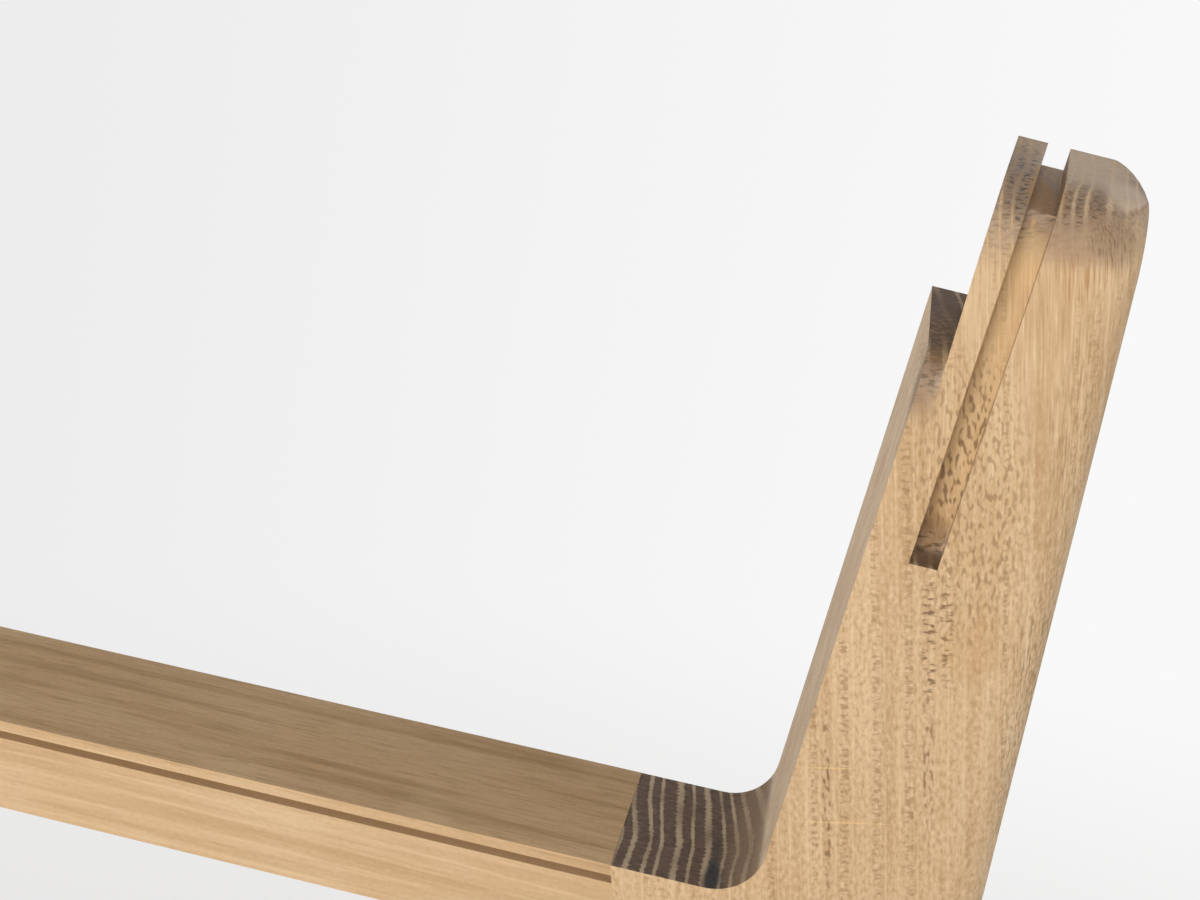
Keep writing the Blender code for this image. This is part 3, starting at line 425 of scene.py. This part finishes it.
# Marks of the right leg's wood: the middle and the reach of each in millimetres along the ring
# face, across the rings and along the fibres, what breaks it up, its colour and its strength. Some
# are painted light and shade, named so, rather than colours of the wood.
leg_marks = {
    "golden slot floor": ((7.0, 84.0, 105.0), (6.0, 16.0, 45.0), None, "#dcc08c", 0.35),
    "dark row below the slot": ((0.0, 71.9, 55.0), (25.0, 2.2, 22.0), "rungs", "#7a5f45", 0.90),
    "end of that row": ((0.0, 71.6, 26.0), (25.0, 1.7, 26.0), "flecks", "#84684a", 0.75),
    "second dark row": ((0.0, 75.6, 58.0), (25.0, 2.0, 18.0), "rungs", "#7a5f45", 0.85),
    "dark row at the front": ((0.0, 49.5, 18.0), (25.0, 1.3, 30.0), "flecks", "#84684a", 0.85),
    "upper cross line": ((0.0, 50.0, 25.5), (12.0, 8.0, 0.30), None, "#ebcb92", 0.55),
    "lower cross line": ((0.0, 53.5, 12.5), (12.0, 14.0, 0.30), None, "#ebcb92", 0.50),
    "warm patch": ((0.0, 81.0, 54.0), (20.0, 12.0, 11.0), None, "#c59a62", 0.18),
    "flecks beside the slot": ((0.0, 80.0, 86.0), (30.0, 17.0, 44.0), "flecks", "#937350", 0.62),
    "flecks in the slot": ((6.0, 80.0, 95.0), (5.0, 14.0, 26.0), "flecks", "#6d5134", 0.45),
    "brown run-out": ((6.0, 72.0, 77.5), (5.5, 6.0, 6.0), None, "#8f6e45", 0.80),
    "dark foot of the run-out": ((2.5, 72.0, 73.5), (5.0, 6.0, 4.5), "ends", "#5a4430", 0.85),
    "rows in the run-out": ((4.0, 72.0, 76.0), (4.0, 6.0, 6.0), "rungs", "#4a3826", 0.70),
    "red streaks under the top": ((0.0, 102.0, 132.0), (20.0, 7.0, 7.0), "fibres", "#aa7a4c", 0.45),
    "greyed inner face": ((0.0, 104.0, 140.0), (16.0, 16.0, 8.0), None, "#9c836b", 0.60),
    "darkened lip": ((12.0, 92.0, 158.0), (40.0, 8.0, 22.0), None, "#75604b", 0.42),
    "warm top behind the lip": ((19.0, 95.5, 148.0), (30.0, 5.5, 7.0), "ends", "#ab834f", 0.80),
    # The shoulder is dark end grain, and is painted darker still with painted shade that reaches down to
    # its foot
    "painted shade at the foot of the shoulder": ((3.0, 69.5, 112.0), (9.0, 7.0, 12.0), None, "#957c66", 0.80),
    "end grain and painted shade on the shoulder": ((28.0, 76.0, 121.0), (36.0, 8.0, 10.0), "ends", "#523d29", 0.90),
    "pale rays on the shoulder": ((16.0, 74.0, 118.0), (34.0, 8.0, 8.0), "rays", "#9a7d5c", 0.75),
    "steps on the shoulder": ((10.0, 71.0, 113.0), (22.0, 6.0, 8.0), "steps", "#453527", 0.50),
    "steps in the slot": ((6.0, 92.0, 144.0), (4.0, 8.0, 7.0), "steps", "#5a442e", 0.40),
    # Painted light: the slot floor is painted paler where the lip shades it
    "painted light on the slot floor": ((6.0, 91.0, 136.0), (4.0, 8.0, 9.0), None, "#e6c894", 0.35),
    "grey lip": ((10.0, 90.5, 152.0), (34.0, 5.0, 9.0), None, "#6b5d54", 0.30),
    "ladder on the lip": ((10.0, 91.0, 150.0), (34.0, 6.5, 14.0), "ladder", "#4d4743", 0.85),
    "ladder on the lip's top": ((26.0, 94.0, 154.0), (30.0, 6.0, 9.0), "ladder", "#35302e", 0.95),
    # Painted light: the top of the post is painted paler where light from above falls on it
    "painted light on the top of the post": ((34.0, 108.0, 152.5), (32.0, 16.0, 7.0), "ends", "#cbb8a2", 0.55),
    "dark band round the top": ((8.0, 102.0, 145.5), (16.0, 11.0, 5.5), "ladder", "#5f4c3f", 0.80),
    # Painted highlight: the rear rim of the top is painted paler where light from behind catches it
    "painted highlight at the rear of the top": ((18.0, 114.0, 146.5), (18.0, 8.0, 6.0), "ends", "#d2bfab", 0.70),
    # Painted shade: the rear rounding is painted browner where it turns away from the light
    "painted shade on the rear rounding": ((5.5, 110.0, 138.0), (9.0, 9.0, 7.0), None, "#80654a", 0.34),
    "streaks on that rounding": ((5.5, 109.0, 138.0), (9.0, 9.0, 7.0), "fibres", "#6a523c", 0.50),
    "lighter fillet": ((25.0, 31.0, -2.0), (60.0, 8.0, 14.0), "ends", "#8a7157", 0.60),
    "dark ring on the stub": ((16.0, 22.3, -4.0), (14.0, 1.6, 8.0), "ends", "#2c2420", 0.60),
    "streaks low at the rear": ((12.0, 93.0, 40.0), (16.0, 9.0, 60.0), "fibres", "#94754f", 0.70),
    "streaks high at the rear": ((7.0, 101.0, 95.0), (11.0, 8.0, 45.0), "fibres", "#8a6c49", 0.32),
    "black spot on the stub": ((5.0, 22.8, -4.8), (11.0, 2.6, 8.0), "ends", "#14120f", 0.95)}
leg_turn = Euler((math.radians(-8.2), 0.0, 0.0))
leg_oak = oiled_oak("oiled_oak_rear_leg", leg_turn, JOINT, ring=3.45, figure=1.0, waver_by=1.1,
                    streaked_from=95.0, sanded_from=146.0, marks=leg_marks)
for hand in ("right", "left"):
    eased_copy("slotted_leg_" + hand, "rear_leg_" + hand, LEG_EASING, leg_oak, joint_plane)

# Armrests: a wide flat oak board with a thin groove along its inner side, butted on the stub of
# the rear leg, dowelled, glued and sanded flush with it. The fibres run along the board. Its top
# is painted darker as painted shade, and the wood in the groove is painted paler as painted light.
ARM_EASING = 0.0005
ALL_OVER = 3000.0
SKIN = 1.4
BETWEEN_ARMS = 470.0
GROOVE_DEEP = 4.0
GROOVE_DOWN = -3.55
arm_top = ((0.0, 0.0, 0.0), (ALL_OVER, SKIN, ALL_OVER))
groove_reach = (6.0, SKIN, ALL_OVER)
arm_marks = {
    # Painted shade: the whole top is painted darker where less light falls on it; the streaks and fibres
    # after it are grain
    "painted shade on the top": (*arm_top, None, "#b98a4c", 0.16),
    "streaks on the top": (*arm_top, "streak", "#7a6140", 0.22),
    "fibres on the top": (*arm_top, "fibres", "#7d6240", 0.22),
    # Painted light: the grooves are painted paler to lift the shade that falls in them
    "painted light in the right groove": ((GROOVE_DEEP, GROOVE_DOWN, 0.0), groove_reach, None, "#f6e3c2", 0.85),
    "painted light in the left groove": ((-BETWEEN_ARMS - GROOVE_DEEP, GROOVE_DOWN, 0.0), groove_reach, None, "#f6e3c2", 0.85)}
arm_turn = Euler((ARM_SLOPE - math.radians(90.0), 0.0, 0.0))
arm_oak = oiled_oak("oiled_oak_armrest", arm_turn, JOINT, ring=4.2, figure=0.25, marks=arm_marks)
for hand in ("right", "left"):
    eased_copy("arm_board_" + hand, "armrest_" + hand, ARM_EASING, arm_oak, joint_plane)

# Front legs: square oak posts that taper to the foot on their two outer sides. The armrest sits on
# their tops over two dowels, and the seat rails are dowelled into their inner sides.
FRONT_LEG_EASING = 0.0006
front_turn = Euler((0.0, 0.0, math.radians(30.0)))
front_oak = oiled_oak("oiled_oak_front_leg", front_turn, (0.26, -0.22, 0.0), ring=3.8, figure=0.45)
for hand in ("right", "left"):
    eased_copy("tapered_leg_" + hand, "front_leg_" + hand, FRONT_LEG_EASING, front_oak)

# Seat rails: four plain oak boards on edge that join the legs into a frame under the seat. The
# fibres run along each rail, front to back in the side rails and across in the other two.
RAIL_EASING = 0.0006
RAIL_RING = 4.6
RAIL_FIGURE = 0.35
side_turn = Euler((math.radians(-87.0), 0.0, 0.0))
side_oak = oiled_oak("oiled_oak_side_rail", side_turn, (0.25, -0.2, 0.42), RAIL_RING, RAIL_FIGURE)
cross_turn = Euler((0.0, math.radians(90.0), 0.0))
cross_oak = oiled_oak("oiled_oak_cross_rail", cross_turn, (0.0, -0.22, 0.41), RAIL_RING, RAIL_FIGURE)
for hand in ("right", "left"):
    eased_copy("side_board_" + hand, "side_rail_" + hand, RAIL_EASING, side_oak)
eased_copy("front_board", "front_rail", RAIL_EASING, cross_oak)
eased_copy("rear_board", "rear_rail", RAIL_EASING, cross_oak)

# Dowels and corner blocks: plain beech. Turned pegs hold the joints of the frame, and a triangular
# block glued and screwed in each corner of the frame keeps it square.
BEECH_CLOUD = 12.0
RAY_WIDTH = 0.5
RAY_LENGTH = 2.8


def planed_beech(name, longest):
    """Plain planed beech: pale pinkish tan in soft clouds, with short dark ray flecks along the fibres.

    The longest axis of the piece is the direction of the fibres, so the flecks are stretched along it.
    """
    made, tree = bare_finish(name)
    place = add(tree, "TexCoord").outputs["Object"]
    cloud = add(tree, "TexNoise", {"Vector": place, "Scale": MM / BEECH_CLOUD, "Detail": 2.0})
    ray_scale = [MM / RAY_WIDTH] * 3
    ray_scale[longest] = MM / RAY_LENGTH
    rays = add(tree, "VectorMath", {0: place, 1: ray_scale}, operation="MULTIPLY")
    rays = add(tree, "TexNoise", {"Vector": rays, "Scale": 1.0, "Detail": 1.0})
    colour = tint(tree, "#dcb98f", "#cda57b", cloud, 0.35, 0.65)
    colour = tint(tree, colour, "#9f7450", rays, 0.58, 0.68, 0.6)
    surface(tree, colour, rays, (0.55, 0.70), rays, 0.00008, 0.4)
    return made


beech = [planed_beech("planed_beech_" + letter, i) for i, letter in enumerate("xyz")]
for node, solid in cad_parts.items():
    if "dowel" in node or "corner_block" in node:
        low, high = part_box(node)
        longest = int(np.argmax(np.array(high) - np.array(low)))
        solid.material_slots[0].material = beech[longest]

# Seat: one flat panel of oak-faced plywood, notched round the legs, its edges rounded and oiled.
# The face veneer runs front to back, and the plies show as stripes along the edges.
SEAT_EASING = 0.0005
SEAT_THICKNESS = 12.0
SEAT_PLIES = 9
SEAT_SLOPE = math.radians(3.0)
SEAT_START = Vector((0.0, -0.22337, 0.436))
VENEER_RING = 6.5
VENEER_FIGURE = 0.35


def show_plies(finish, depth, thickness, plies):
    """Lays plies over a finish by the depth in millimetres.

    Between the face veneers, light and dark layers follow in turn, with a thin dark glue line where two
    of them meet.
    """
    tree = finish.node_tree
    shade = tree.nodes["Principled BSDF"]
    veneer = shade.inputs["Base Color"].links[0].from_socket
    ply = thickness / plies
    middle = thickness / 2.0
    layer = add(tree, "Math", {0: depth, 1: ply}, operation="DIVIDE")
    turn_about = add(tree, "Math", {0: layer}, operation="FLOOR")
    turn_about = add(tree, "Math", {0: turn_about, 1: 1.0}, operation="PINGPONG")
    stripe = tint(tree, "#d3b485", "#a37d53", turn_about, 0.0, 1.0)
    glue = add(tree, "Math", {0: layer, 1: 0.5}, operation="PINGPONG")
    stripe = tint(tree, stripe, "#6b4f35", glue, 0.10, 0.04, 0.7)
    off_middle = add(tree, "Math", {0: depth, 1: middle}, operation="SUBTRACT")
    off_middle = add(tree, "Math", {0: off_middle}, operation="ABSOLUTE")
    colour = tint(tree, veneer, stripe, off_middle, middle - 0.6 * ply, middle - 0.7 * ply, 0.9)
    tree.links.new(colour.outputs[2], shade.inputs["Base Color"])


seat_turn = Euler((SEAT_SLOPE - math.radians(90.0), 0.0, 0.0))
seat_oak = oiled_oak("oiled_oak_plywood_seat", seat_turn, SEAT_START, VENEER_RING, VENEER_FIGURE)
tree = seat_oak.node_tree
where = add(tree, "TexCoord")
seat_up = Vector((0.0, math.sin(SEAT_SLOPE), math.cos(SEAT_SLOPE))) * MM
depth = add(tree, "VectorMath", {0: where.outputs["Object"], 1: seat_up}, operation="DOT_PRODUCT")
depth = add(tree, "Math", {0: depth, 1: SEAT_START.dot(seat_up)}, operation="SUBTRACT")
show_plies(seat_oak, depth, SEAT_THICKNESS, SEAT_PLIES)
eased_copy("seat_board", "seat_panel", SEAT_EASING, seat_oak)

# Seat screws: four pan head steel screws, zinc plated, driven up through the corner blocks into
# the underside of the seat.
ZINC_GRAIN = 1.5


def zinc_steel(name):
    """Bright bluish zinc plating: mottled grey crystals and a slightly uneven gloss.

    Real crystals are finer, and these are drawn as coarse as they need to show.
    """
    made, tree = bare_finish(name)
    tree.nodes["Principled BSDF"].inputs["Metallic"].default_value = 1.0
    place = add(tree, "TexCoord").outputs["Object"]
    crystals = add(tree, "TexNoise", {"Vector": place, "Scale": MM / ZINC_GRAIN, "Detail": 2.0})
    colour = tint(tree, "#cdd1d4", "#a9aca9", crystals, 0.35, 0.65)
    surface(tree, colour, crystals, (0.25, 0.42), crystals, 0.00003, 0.4)
    return made


plated = zinc_steel("zinc_plated_steel")
for node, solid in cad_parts.items():
    if "screw" in node:
        solid.material_slots[0].material = plated

# Back band: a bent strip of thin oak-faced plywood whose ends drop into the slots of the rear legs.
# It is drawn out and stands at the rear of the seat. The veneer runs along it, the plies show on top.
BAND_EASING = 0.0004
BAND_THICKNESS = 5.4
BAND_PLIES = 5
BAND_RADIUS = 2419.0
BAND_PLACE = 318.0
band_turn = Euler((0.0, math.radians(90.0), 0.0))
band_oak = oiled_oak("oiled_oak_plywood_band", band_turn, (0.0, 0.1, 0.45), VENEER_RING, VENEER_FIGURE)
tree = band_oak.node_tree
where = add(tree, "TexCoord")
plan_turn = Euler((SEAT_SLOPE, 0.0, 0.0))
arc_middle = plan_turn.to_matrix() @ (SEAT_START * MM) + Vector((0.0, BAND_PLACE + BAND_RADIUS, 0.0))
plan = add(tree, "Mapping", {"Vector": where.outputs["Object"], "Location": -arc_middle,
                             "Rotation": plan_turn, "Scale": (MM, MM, MM)})
plan = add(tree, "VectorMath", {0: plan, 1: (1.0, 1.0, 0.0)}, operation="MULTIPLY")
depth = add(tree, "VectorMath", {0: plan}, operation="LENGTH")
depth = add(tree, "Math", {0: depth, 1: BAND_RADIUS - BAND_THICKNESS / 2.0}, operation="SUBTRACT")
show_plies(band_oak, depth, BAND_THICKNESS, BAND_PLIES)
eased_copy("bent_band", "back_band", BAND_EASING, band_oak)

# Glides: moulded nylon buttons under the four feet, each with a peg that is pressed into the leg.
# They keep the wood off the floor and let the chair slide.
STIPPLE = 0.6
SCUFF = 5.0
SCUFFED_TO = 0.003


def moulded_nylon(name):
    """Moulded off-white nylon: a fine stipple, scuffed grey towards the floor.

    Real stipple is finer, and this is drawn as coarse as it needs to show.
    """
    made, tree = bare_finish(name)
    tree.nodes["Principled BSDF"].inputs["IOR"].default_value = 1.53
    place = add(tree, "TexCoord").outputs["Object"]
    stipple = add(tree, "TexNoise", {"Vector": place, "Scale": MM / STIPPLE, "Detail": 1.0})
    scuff = add(tree, "TexNoise", {"Vector": place, "Scale": MM / SCUFF, "Detail": 3.0})
    height = add(tree, "SeparateXYZ", {0: place}).outputs["Z"]
    colour = tint(tree, "#dbd8cf", "#8d8a83", height, SCUFFED_TO, 0.0, 0.8, masks=[scuff])
    surface(tree, colour, scuff, (0.40, 0.56), stipple, 0.00004, 0.5)
    return made


nylon = moulded_nylon("moulded_nylon")
for node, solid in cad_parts.items():
    if "glide" in node:
        solid.material_slots[0].material = nylon
